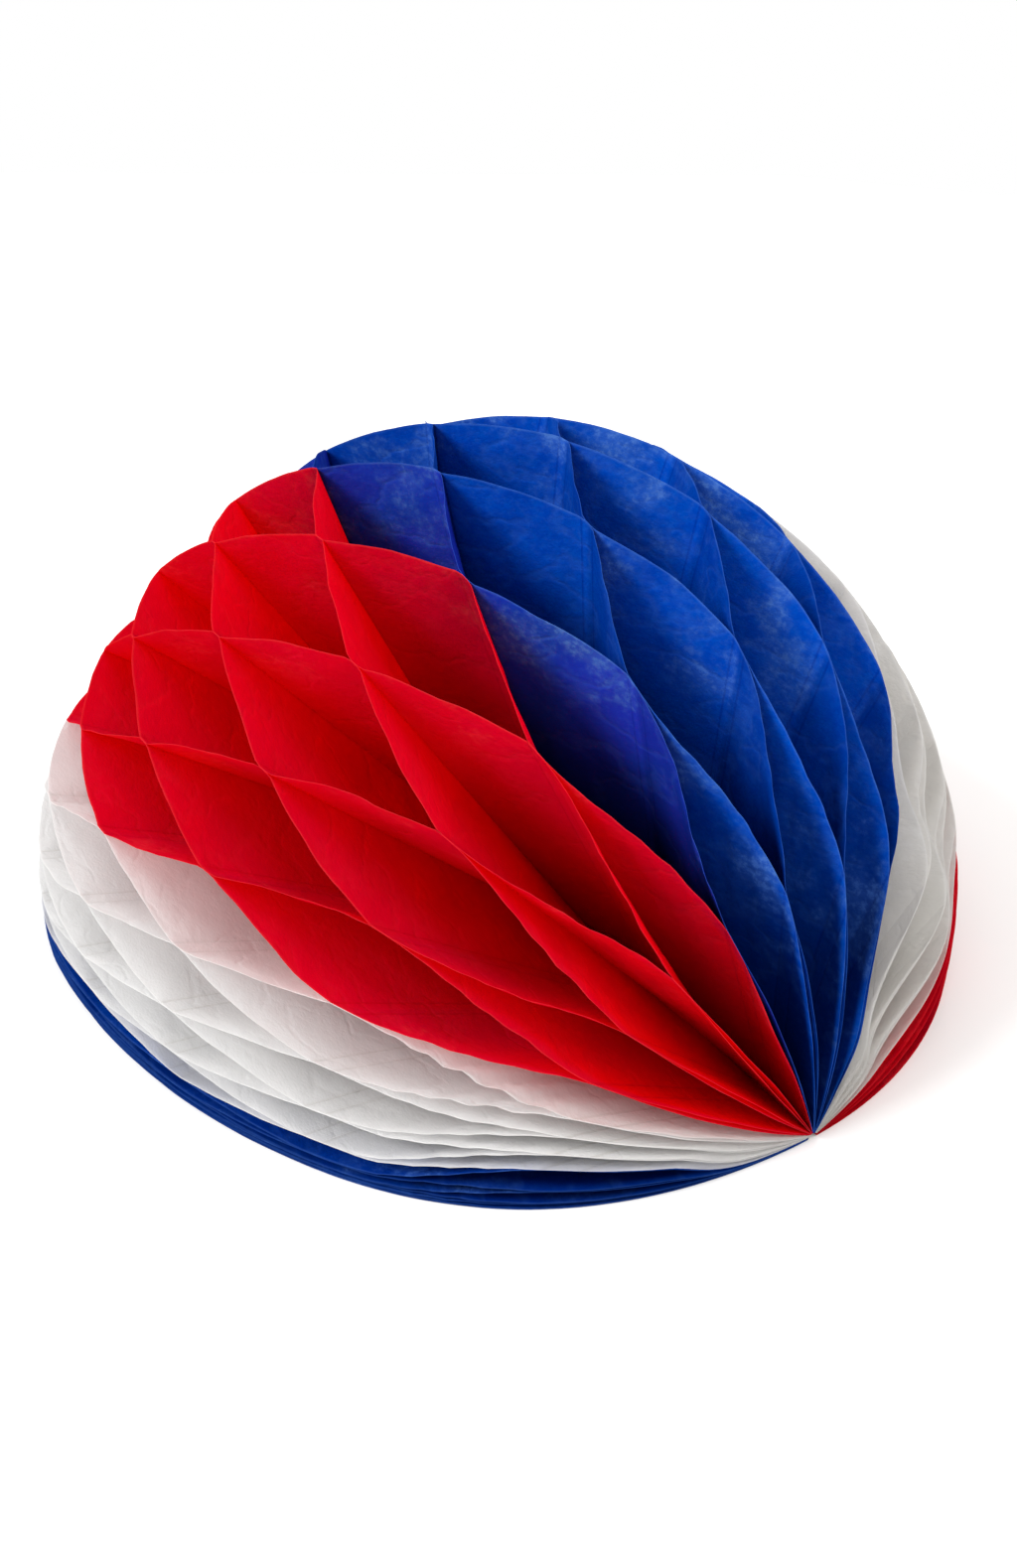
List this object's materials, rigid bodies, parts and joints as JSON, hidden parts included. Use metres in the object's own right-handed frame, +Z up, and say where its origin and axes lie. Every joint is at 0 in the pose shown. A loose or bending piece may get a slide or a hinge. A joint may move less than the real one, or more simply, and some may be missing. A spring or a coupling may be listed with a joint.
{
  "type": "honeycomb tissue paper ball",
  "caption": "Half-opened honeycomb ball of red, white and blue tissue leaves, fanned out over its straight bound edge and lying on its two end leaves.",
  "frame": {"origin": "middle of the bound edge, on the surface the ball lies on", "axes": "+X along the bound edge towards the pole nearest the first glue band, +Y from the front blue end leaf to the back red end leaf, +Z up"},
  "size_m": [0.3066, 0.3, 0.1501],
  "materials": {
    "red_tissue": "matte dyed tissue",
    "blue_tissue": "matte dyed tissue",
    "white_tissue": "matte tissue",
    "binding_glue": "dried paper glue"
  },
  "bodies": {
    "root": {"front_blue_leaf_1": "blue_tissue", "front_blue_leaf_2": "blue_tissue", "front_blue_leaf_3": "blue_tissue", "front_blue_leaf_4": "blue_tissue", "front_blue_leaf_5": "blue_tissue", "front_blue_leaf_6": "blue_tissue", "front_blue_leaf_7": "blue_tissue", "front_white_leaf_1": "white_tissue", "front_white_leaf_2": "white_tissue", "front_white_leaf_3": "white_tissue", "front_white_leaf_4": "white_tissue", "front_white_leaf_5": "white_tissue", "front_white_leaf_6": "white_tissue", "front_white_leaf_7": "white_tissue", "front_red_leaf_1": "red_tissue", "front_red_leaf_2": "red_tissue", "front_red_leaf_3": "red_tissue", "front_red_leaf_4": "red_tissue", "front_red_leaf_5": "red_tissue", "front_red_leaf_6": "red_tissue", "front_red_leaf_7": "red_tissue", "top_blue_leaf_1": "blue_tissue", "top_blue_leaf_2": "blue_tissue", "top_blue_leaf_3": "blue_tissue", "top_blue_leaf_4": "blue_tissue", "top_blue_leaf_5": "blue_tissue", "top_blue_leaf_6": "blue_tissue", "top_blue_leaf_7": "blue_tissue", "back_white_leaf_1": "white_tissue", "back_white_leaf_2": "white_tissue", "back_white_leaf_3": "white_tissue", "back_white_leaf_4": "white_tissue", "back_white_leaf_5": "white_tissue", "back_white_leaf_6": "white_tissue", "back_white_leaf_7": "white_tissue", "back_red_leaf_1": "red_tissue", "back_red_leaf_2": "red_tissue", "back_red_leaf_3": "red_tissue", "back_red_leaf_4": "red_tissue", "back_red_leaf_5": "red_tissue", "back_red_leaf_6": "red_tissue", "back_red_leaf_7": "red_tissue", "binding_bead": "binding_glue"}
  },
  "joints": []
}
